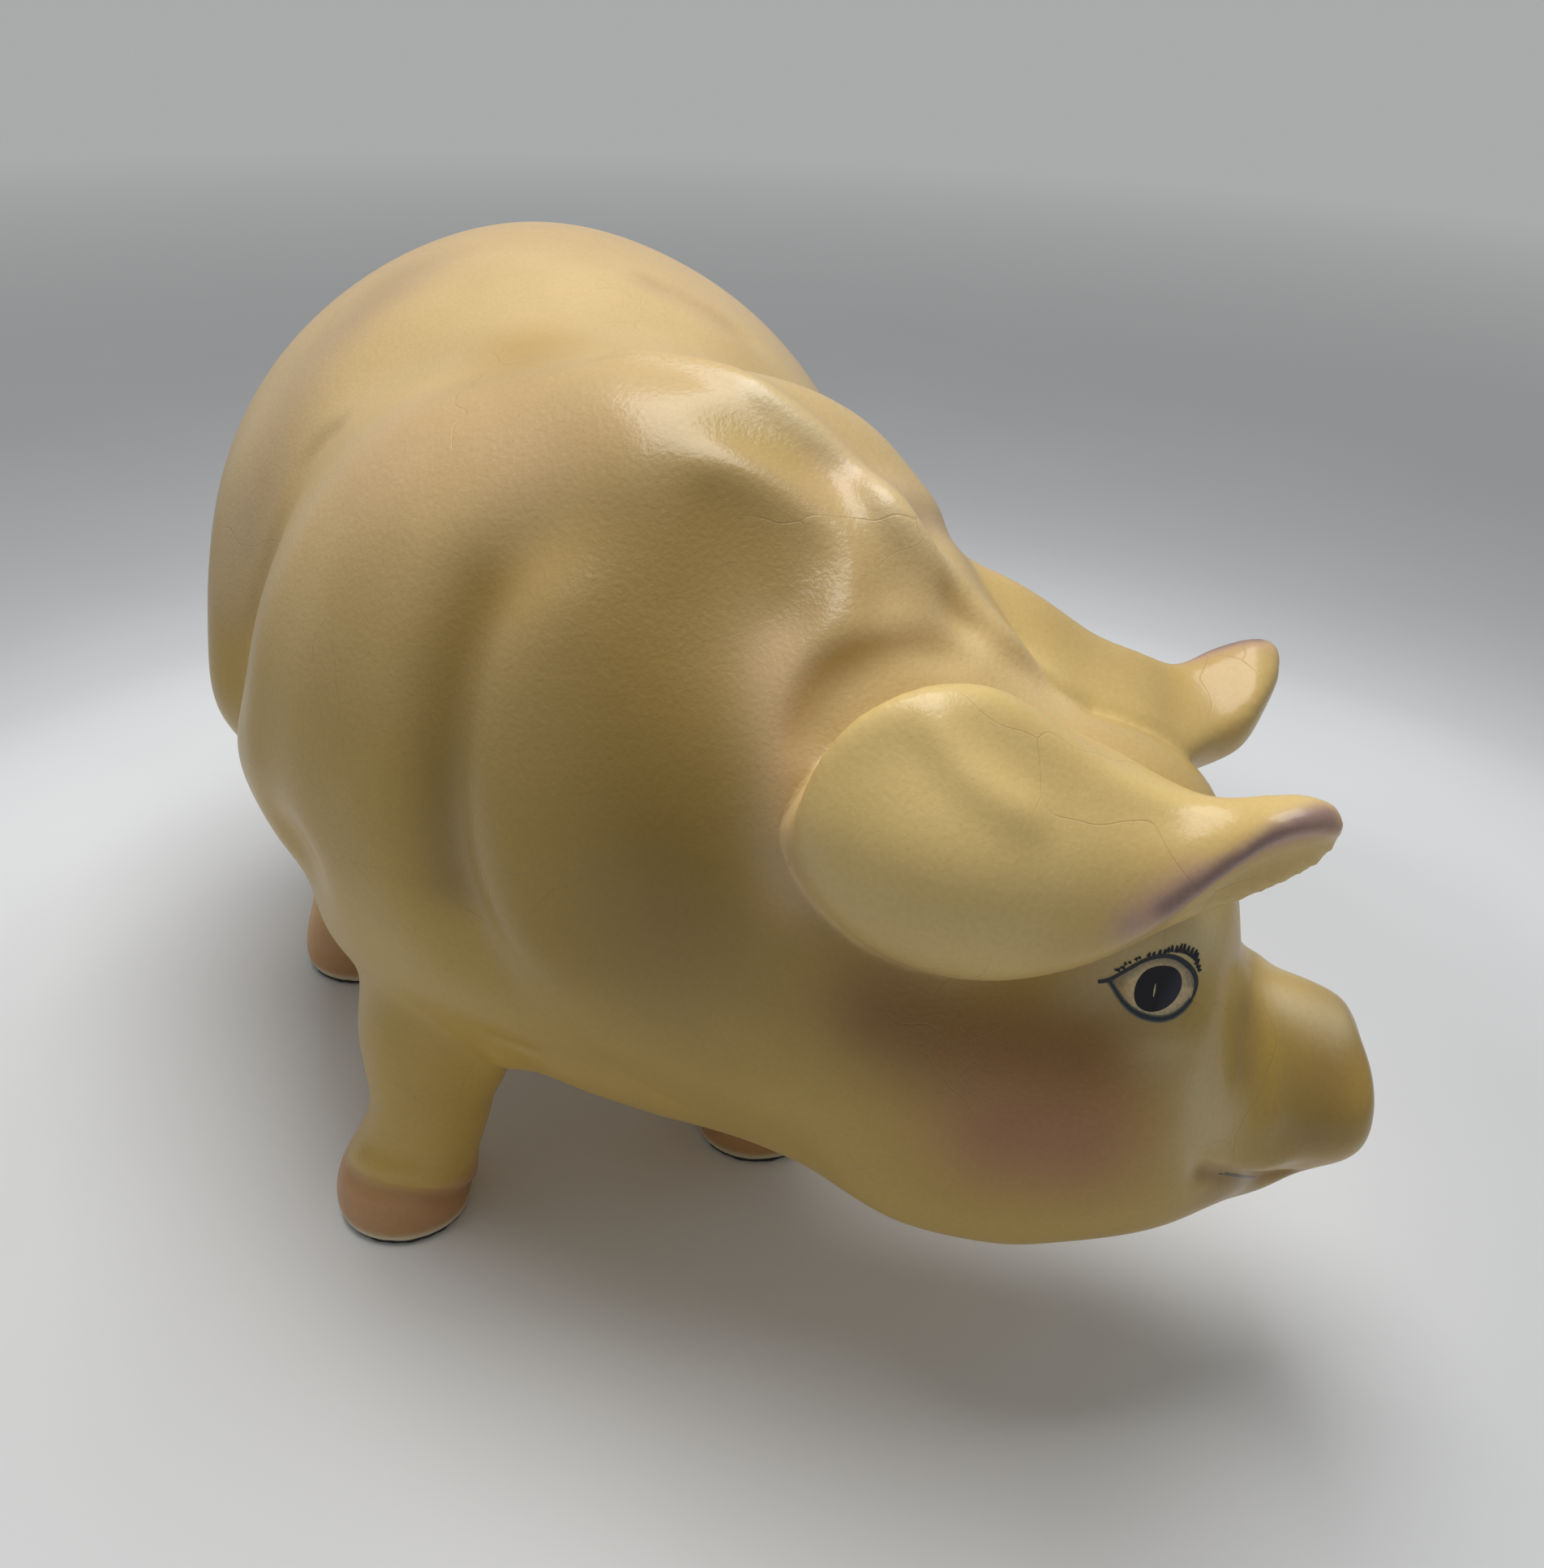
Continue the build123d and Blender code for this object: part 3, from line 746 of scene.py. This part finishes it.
class PaintedSheets:
    """Patches and ribbons of paint, laid on the skin through pixels of the photograph."""

    def __init__(self, skin, side=1):
        self.skin = skin
        self.tree = skin.tree()
        self.skin_normals = skin.normals()
        self.side = side
        self.points = []
        self.normals = []
        self.colours = []
        self.faces = []

    def lay(self, pixel):
        """The spot on the skin at a pixel, or its mirror image where side is -1, and its smooth normal."""
        spot = on_skin(self.tree, pixel)
        if self.side < 0:
            spot = mirrored([spot], "head")[0]
        spot, _, face, _ = self.tree.find_nearest(spot)
        corners = list(self.skin.faces[face])
        weights = 1 / (np.linalg.norm(self.skin.points[corners] - np.array(spot), axis=1) + paint_lift)
        normal = weights @ self.skin_normals[corners]
        return np.array(spot), normal / np.linalg.norm(normal)

    def add_sheet(self, pixels, faces, colours, layer):
        """One sheet with its top on the skin and its underside in it, closed round its border."""
        first = len(self.points)
        count = len(pixels)
        laid = [self.lay(pixel) for pixel in pixels]
        for depth in (layer * paint_lift, -paint_depth):
            self.points += [spot + normal * depth for spot, normal in laid]
            self.normals += [normal for _, normal in laid]
            self.colours += colours
        a, b, c = (laid[k][0] for k in faces[0][:3])
        if np.dot(np.cross(b - a, c - a), laid[faces[0][0]][1]) < 0:
            faces = [face[::-1] for face in faces]
        edges = dict.fromkeys(edge for face in faces for edge in zip(face, face[1:] + face[:1]))
        top = [tuple(first + k for k in face) for face in faces]
        bottom = [tuple(first + count + k for k in reversed(face)) for face in faces]
        walls = [(first + b, first + a, first + count + a, first + count + b)
                 for a, b in edges if (b, a) not in edges]
        self.faces += top + bottom + walls

    def patch(self, outline, colour_at, layer, rings=5):
        """A filled patch in a closed outline. colour_at takes a pixel and how far out it is, from 0 to 1."""
        border = closed_curve([Vector((*pixel, 0)) for pixel in outline], steps=3)[:, :2]
        centre = border.mean(0)
        pixels = [centre]
        colours = [colour_at(centre, 0.0)]
        for ring in range(1, rings + 1):
            out = ring / rings
            for pixel in border:
                pixels.append(centre + out * (pixel - centre))
                colours.append(colour_at(pixels[-1], out))
        count = len(border)
        faces = [(0, 1 + k, 1 + (k + 1) % count) for k in range(count)]
        for ring in range(rings - 1):
            inner, outer = 1 + ring * count, 1 + (ring + 1) * count
            faces += [(inner + k, outer + k, outer + (k + 1) % count, inner + (k + 1) % count)
                      for k in range(count)]
        self.add_sheet(pixels, faces, colours, layer)

    def ribbon(self, path, widths, colour, layer, steps=4):
        """A line of paint. The widths, in pixels, are given at even distances along it."""
        line = curve_through([Vector((*pixel, 0)) for pixel in path], steps)[:, :2]
        run = np.linspace(0, 1, len(line))
        wide = np.interp(run, np.linspace(0, 1, len(widths)), widths)
        tangent = np.gradient(line, axis=0)
        tangent /= np.linalg.norm(tangent, axis=1)[:, None]
        aside = np.column_stack([-tangent[:, 1], tangent[:, 0]]) * wide[:, None] / 2
        pixels = list(line - aside) + list(line + aside)
        count = len(line)
        faces = [(k, k + 1, count + k + 1, count + k) for k in range(count - 1)]
        self.add_sheet(pixels, faces, [colour] * len(pixels), layer)

    def make(self, name, material):
        piece = new_object(name, self.points, self.faces)
        piece.data.normals_split_custom_set_from_vertices([tuple(normal) for normal in self.normals])
        store_colours(piece.data, self.colours)
        piece.data.materials.append(material)
        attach(piece, "root")


eye_opening = [
    (1372, 1208), (1383, 1200), (1396, 1193), (1409, 1185), (1422, 1181), (1435, 1180), (1448, 1182),
    (1460, 1188), (1470, 1197), (1474, 1208), (1473, 1220), (1467, 1233), (1457, 1243), (1445, 1250),
    (1430, 1254), (1414, 1253), (1399, 1247), (1386, 1237), (1377, 1225),
]
iris_outline = [
    (1437, 1191), (1449, 1194), (1456, 1203), (1457, 1215), (1452, 1228), (1443, 1239), (1431, 1246),
    (1417, 1248), (1405, 1243), (1399, 1233), (1399, 1220), (1404, 1207), (1413, 1197), (1425, 1192),
]
iris_left = (1408, 1210)
iris_right = (1458, 1232)
streak = [(1424.6, 1213), (1423.4, 1221), (1422, 1229)]
streak_widths = [0.6, 2.2, 0.8]
upper_lid = [
    (1354, 1211), (1366, 1209), (1376, 1204), (1392, 1195), (1408, 1186), (1424, 1180.5), (1438, 1179),
    (1452, 1182), (1464, 1190), (1472, 1200), (1475, 1212), (1472, 1226), (1466, 1238),
]
upper_lid_widths = [4, 5, 4, 4, 4, 4.5, 5, 6, 7, 6, 4.5, 3, 1.5]
lower_lid = [
    (1366, 1207), (1374, 1219), (1383, 1233), (1396, 1246), (1412, 1254), (1430, 1257), (1446, 1253),
    (1459, 1244), (1469, 1232),
]
lower_lid_widths = [4, 3.5, 4, 5, 5.5, 5, 4.5, 3.5, 2.5]
haze_margin = 4
# Each lash from its base to its tip, and a lash's widths along it
lashes = [
    ((1381, 1196.5), (1374, 1195.8)), ((1387, 1193.5), (1381, 1193.2)),
    ((1388.4, 1190.2), (1386.8, 1186.8)), ((1392.7, 1188.4), (1394, 1185.3)),
    ((1400.4, 1184.6), (1402.1, 1181.2)), ((1405.5, 1182.5), (1405, 1179.4)),
    ((1415.7, 1180), (1418.2, 1174.8)), ((1422, 1178.7), (1424.1, 1174)),
    ((1429.7, 1177.4), (1431.5, 1171)), ((1436, 1176.1), (1437.4, 1170.5)),
    ((1440, 1174.8), (1441.7, 1168)), ((1445, 1174), (1445.8, 1165.9)),
    ((1450.1, 1174.8), (1451.9, 1165.9)), ((1454, 1174.8), (1457.8, 1163.9)),
    ((1459, 1176.1), (1461.6, 1163.9)), ((1462.9, 1177.4), (1466.7, 1166.4)),
    ((1466.7, 1180), (1471.8, 1168.5)), ((1470.5, 1182.5), (1476.1, 1171)),
    ((1473, 1185), (1477.7, 1174.8)), ((1474.3, 1190), (1478.7, 1182.5)), ((1476, 1194), (1480.2, 1190.2)),
    ((1476.9, 1196.5), (1481.2, 1195.8)),
]
lash_widths = [4.2, 3.2, 1.4]
mouth_line = [(1503, 1448), (1515, 1448.5), (1530, 1451), (1548, 1452)]
mouth_line_widths = [1.0, 3.2, 3.2, 1.0]

white_of_eye = (0.70, 0.55, 0.31)
corner_ochre = (0.50, 0.33, 0.12)
lid_shade = (0.25, 0.21, 0.14)
iris_black = (0.004, 0.004, 0.007)
iris_blue = (0.040, 0.045, 0.075)
lid_blue = (0.028, 0.036, 0.044)
lid_haze = (0.16, 0.155, 0.12)
lash_black = (0.010, 0.013, 0.020)
mouth_brown = (0.10, 0.075, 0.035)
# Ochre in the eye's back corner: the column of pixels where it starts, and how many it takes
corner_column = 1396
corner_width = 14
# Shade above and below a row of pixels: how far out it starts, and how fast it grows
lid_row = 1216
upper_shade = (0.62, 3.2)
lower_shade = (0.8, 2.6)
# Blue of the iris: how far across it starts, and how fast it grows
iris_start = 0.5
iris_growth = 2.2


def mixed(share, a, b):
    share = min(max(share, 0.0), 1.0)
    return tuple((1 - share) * x + share * y for x, y in zip(a, b))


def eyeball_colour(pixel, out):
    u, v = pixel
    colour = mixed((corner_column - u) / corner_width, white_of_eye, corner_ochre)
    start, growth = upper_shade if v < lid_row else lower_shade
    return mixed(growth * (out - start), colour, lid_shade)


def iris_colour(pixel, out):
    span = np.array(iris_right) - np.array(iris_left)
    share = np.dot(np.array(pixel) - np.array(iris_left), span) / np.dot(span, span)
    return mixed(iris_growth * (share - iris_start), iris_black, iris_blue)


def make_eye(skin, side, name, material):
    eye = PaintedSheets(skin, side)
    eye.patch(eye_opening, eyeball_colour, 1)
    eye.patch(iris_outline, iris_colour, 2)
    eye.ribbon(streak, streak_widths, white_of_eye, 3)
    eye.ribbon(lower_lid, [width + haze_margin for width in lower_lid_widths], lid_haze, 1.5)
    eye.ribbon(lower_lid, lower_lid_widths, lid_blue, 2.5)
    eye.ribbon(upper_lid, upper_lid_widths, lid_blue, 3)
    for base, tip in lashes:
        middle = ((base[0] + tip[0]) / 2, (base[1] + tip[1]) / 2)
        eye.ribbon([base, middle, tip], lash_widths, lash_black, 3.5, 2)
    eye.make(name, material)


def make_mouth_line(skin, side, name, material):
    line = PaintedSheets(skin, side)
    line.ribbon(mouth_line, mouth_line_widths, mouth_brown, 1)
    line.make(name, material)


# Felt pads, a little fluffy at their edges

felt_segments = 96
# A pad's edge from its underside up, in shares of its radius and thickness
felt_profile = [(0.9, 0), (0.98, 0.12), (1.0, 0.5), (0.98, 0.9), (0.9, 1)]
# How far the edge wavers, as a share of the radius, and in how many waves
felt_fluff = 0.012
felt_waves = (17, 5)


def make_felt(node, material):
    low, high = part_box(node)
    centre = (low + high) / 2
    radius = (high.x - low.x) / 2
    many, few = felt_waves
    points = []
    for out, up in felt_profile:
        for k in range(felt_segments):
            angle = 2 * math.pi * k / felt_segments
            fluff = 1 + felt_fluff * (math.sin(many * angle) * math.sin(few * angle + 1) - 0.5)
            reach = radius * out * fluff
            points.append((centre.x + reach * math.cos(angle), centre.y + reach * math.sin(angle),
                           low.z + up * (high.z - low.z)))
    points += [(centre.x, centre.y, low.z), (centre.x, centre.y, high.z)]
    top = (len(felt_profile) - 1) * felt_segments
    faces = [face[::-1] for face in cap(0, len(points) - 2, felt_segments)]
    for ring in range(0, top, felt_segments):
        faces += band(ring, ring + felt_segments, felt_segments)
    faces += cap(top, len(points) - 1, felt_segments)
    piece = new_object(node + "_felt", points, faces)
    piece.data.materials.append(material)
    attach(piece, "root")
    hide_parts(node)


# Materials

# Values between which most of a noise lies
noise_limits = (0.3, 0.7)
crazing_brown = (0.30, 0.19, 0.09, 1)
iron_brown = (0.10, 0.06, 0.035, 1)


def new_material(name):
    """A new material, its node tree and shader, and the place on the object."""
    material = bpy.data.materials.new(name)
    material.use_nodes = True
    tree = material.node_tree
    return material, tree, tree.nodes["Principled BSDF"], add(tree, "TexCoord").outputs["Object"]


def set_inputs(tree, node, inputs):
    """Sets a node's inputs to numbers or colours, or links them to other nodes' outputs."""
    for key, value in inputs.items():
        if isinstance(value, bpy.types.NodeSocket):
            tree.links.new(value, node.inputs[key])
        else:
            node.inputs[key].default_value = value


def add(tree, kind, inputs=None, **settings):
    node = tree.nodes.new("ShaderNode" + kind)
    for key, value in settings.items():
        setattr(node, key, value)
    set_inputs(tree, node, inputs or {})
    return node


def scaled(tree, source, start, end, low=0.0, high=1.0):
    values = {"Value": source, "From Min": start, "From Max": end, "To Min": low, "To Max": high}
    return add(tree, "MapRange", values).outputs["Result"]


def maths(tree, operation, a, b):
    return add(tree, "Math", {0: a, 1: b}, operation=operation).outputs[0]


def times(tree, a, b):
    return maths(tree, "MULTIPLY", a, b)


def blended(tree, share, a, b, kind="MIX"):
    inputs = {0: share, 6: a, 7: b}
    return add(tree, "Mix", inputs, data_type="RGBA", blend_type=kind).outputs[2]


def tinted(tree, colour, pattern, dark, light, limits=noise_limits):
    """The colour times a dark tint at the pattern's lower limit and a light one at its upper limit."""
    return blended(tree, 1.0, colour, blended(tree, scaled(tree, pattern, *limits), dark, light), "MULTIPLY")


def noise(tree, where, scale, detail=2.0, roughness=0.5, output="Fac"):
    inputs = {"Vector": where, "Scale": scale, "Detail": detail, "Roughness": roughness}
    return add(tree, "TexNoise", inputs).outputs[output]


def stored(tree, name, output):
    return add(tree, "Attribute", attribute_name=name).outputs[output]


def glaze_material():
    material, tree, shader, where = new_material("cream_glaze")
    # Uneven airbrushing and glaze thickness
    colour = tinted(tree, stored(tree, "paint", "Color"), noise(tree, where, scale=22.0, detail=3.0),
                    (0.93, 0.92, 0.88, 1), (1.05, 1.06, 1.10, 1))
    colour = tinted(tree, colour, noise(tree, where, scale=900.0), (0.97, 0.97, 0.95, 1),
                    (1.02, 1.02, 1.02, 1), limits=(0.35, 0.65))
    # Crazing: hairlines along the edges of warped cells, only here and there
    warp = noise(tree, where, scale=30.0, output="Color")
    bent = add(tree, "MixRGB", {"Fac": 0.03, "Color1": where, "Color2": warp}).outputs[0]
    cells = add(tree, "TexVoronoi", {"Vector": bent, "Scale": 24.0}, feature="DISTANCE_TO_EDGE")
    line = scaled(tree, cells.outputs["Distance"], start=0.004, end=0.001)
    here = scaled(tree, noise(tree, where, scale=26.0, detail=1.0), start=0.52, end=0.66)
    crazing = times(tree, line, here)
    colour = blended(tree, times(tree, crazing, 0.16), colour, crazing_brown)
    # Specks of iron in the clay, picked and sized by their cells' random colours
    dots = add(tree, "TexVoronoi", {"Vector": where, "Scale": 38.0})
    pick = add(tree, "SeparateColor", {0: dots.outputs["Color"]}).outputs[0]
    radius = scaled(tree, pick, start=0.62, end=1.0, high=0.022)
    speck = maths(tree, "LESS_THAN", dots.outputs["Distance"], radius)
    colour = blended(tree, times(tree, speck, 0.75), colour, iron_brown)
    # Grain that the glaze follows
    fine = noise(tree, where, scale=950.0, detail=2.5, roughness=0.55)
    broad = noise(tree, where, scale=210.0)
    height = maths(tree, "ADD", times(tree, broad, 0.6), times(tree, fine, stored(tree, "grain", "Fac")))
    height = maths(tree, "ADD", height, times(tree, crazing, -0.5))
    bump = add(tree, "Bump", {"Height": height, "Strength": 0.45, "Distance": 0.24 * mm})
    normal = bump.outputs["Normal"]
    set_inputs(tree, shader, {"Base Color": colour, "Normal": normal, "Coat Normal": normal, "IOR": 1.4,
                              "Roughness": 0.45, "Coat Weight": 0.32, "Coat Roughness": 0.18})
    return material


def paint_material():
    """The sheets' own colours with fine brush mottling, under a gloss."""
    material, tree, shader, where = new_material("underglaze_paint")
    colour = tinted(tree, stored(tree, "paint", "Color"), noise(tree, where, scale=1500.0, detail=3.0),
                    (0.85, 0.85, 0.85, 1), (1.15, 1.15, 1.15, 1))
    set_inputs(tree, shader, {"Base Color": colour, "IOR": 1.35, "Roughness": 0.35, "Coat Weight": 0.2,
                              "Coat Roughness": 0.12})
    return material


def felt_material():
    material, tree, shader, where = new_material("black_felt")
    fibres = noise(tree, where, scale=2600.0, detail=4.0, roughness=0.7)
    colour = blended(tree, scaled(tree, fibres, *noise_limits), (0.012, 0.012, 0.014, 1),
                     (0.06, 0.06, 0.065, 1))
    bump = add(tree, "Bump", {"Height": fibres, "Strength": 0.8, "Distance": 0.3 * mm})
    set_inputs(tree, shader, {"Base Color": colour, "Normal": bump.outputs["Normal"], "Roughness": 0.95,
                              "Sheen Weight": 0.3})
    return material


# The floor's grey by distance in metres from a centre under the neck: painted light, palest under and near
# the object where its shadow falls, with a pale ring further out and darker beyond
floor_centre = place(0, 60, 0)
floor_light_greys = [(0.0, 0.90), (0.12, 0.86), (0.19, 0.76), (0.25, 0.82), (0.32, 0.92), (0.40, 0.76),
               (0.55, 0.57), (1.2, 0.50)]
floor_half = 6.0
# The backdrop, and how far out the floor starts to be seen as it and is wholly so
backdrop_colour = (1.0, 1.01, 1.01, 1)
backdrop_grey = 0.40
backdrop_start = 0.4
backdrop_full = 1.7


def seen_directly(tree):
    """1 for rays that show the backdrop, to the camera, in a gloss or through glass, and 0 for light."""
    path = add(tree, "LightPath")
    seen = path.outputs["Is Camera Ray"]
    for kind in ("Is Glossy Ray", "Is Transmission Ray"):
        seen = maths(tree, "MAXIMUM", seen, path.outputs[kind])
    return seen


def floor_material():
    """A pale floor with painted light: lighter and darker by distance from the object. Far from the object it
    is seen at one grey, as a backdrop that gives no light.
    """
    material, tree, shader, where = new_material("floor")
    away = add(tree, "VectorMath", {0: where, 1: floor_centre},
               operation="DISTANCE").outputs["Value"]
    furthest = floor_light_greys[-1][0]
    curve = add(tree, "FloatCurve", {"Value": scaled(tree, away, 0.0, furthest)})
    points = curve.mapping.curves[0].points
    for end in (0, -1):
        points[end].location = (floor_light_greys[end][0] / furthest, floor_light_greys[end][1])
    for distance, grey in floor_light_greys[1:-1]:
        points.new(distance / furthest, grey)
    curve.mapping.update()
    mottle = scaled(tree, noise(tree, where, scale=8.0), *noise_limits, low=0.98, high=1.02)
    set_inputs(tree, shader, {"Base Color": times(tree, curve.outputs[0], mottle), "Roughness": 0.7})
    backdrop = add(tree, "Emission", {"Color": backdrop_colour, "Strength": backdrop_grey})
    share = times(tree, seen_directly(tree), scaled(tree, away, backdrop_start, backdrop_full))
    mix = add(tree, "MixShader", {0: share, 1: shader.outputs[0], 2: backdrop.outputs[0]})
    set_inputs(tree, tree.nodes["Material Output"], {"Surface": mix.outputs[0]})
    return material


# Studio

world_colour = (0.9, 0.95, 1.0, 1)
world_strength = 0.26
lamp_place = place(-60, 10, 800)
lamp_sides = (0.55, 0.42)
lamp_watts = 4.6


def make_world():
    """Soft light from all round, seen as the backdrop."""
    world = bpy.data.worlds.new("world")
    world.use_nodes = True
    tree = world.node_tree
    light = tree.nodes["Background"]
    set_inputs(tree, light, {"Color": world_colour, "Strength": world_strength})
    shown = add(tree, "Background", {"Color": backdrop_colour, "Strength": backdrop_grey})
    mix = add(tree, "MixShader", {0: seen_directly(tree), 1: light.outputs[0], 2: shown.outputs[0]})
    set_inputs(tree, tree.nodes["World Output"], {"Surface": mix.outputs[0]})
    bpy.context.scene.world = world


def make_studio():
    corners = [(x * floor_half, y * floor_half, 0) for x, y in ((-1, -1), (1, -1), (1, 1), (-1, 1))]
    floor = new_object("floor", corners, [(0, 1, 2, 3)], smooth=False)
    floor.data.materials.append(floor_material())
    make_world()
    lamp = bpy.data.lights.new("overhead", "AREA")
    lamp.shape = "RECTANGLE"
    lamp.size, lamp.size_y = lamp_sides
    lamp.energy = lamp_watts
    link("overhead", lamp).location = lamp_place
    bpy.context.scene.view_settings.view_transform = "Standard"


make_camera()
skin_piece, skin, ear = make_skin()
paint_skin(skin_piece, skin, ear)
skin_piece.data.materials.append(glaze_material())
underglaze = paint_material()
for side, name in ((1, "right"), (-1, "left")):
    make_eye(skin, side, name + "_eye_paint", underglaze)
    make_mouth_line(skin, side, name + "_mouth_line", underglaze)
felt = felt_material()
for node in list(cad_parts):
    if "felt_pad" in node:
        make_felt(node, felt)
make_studio()
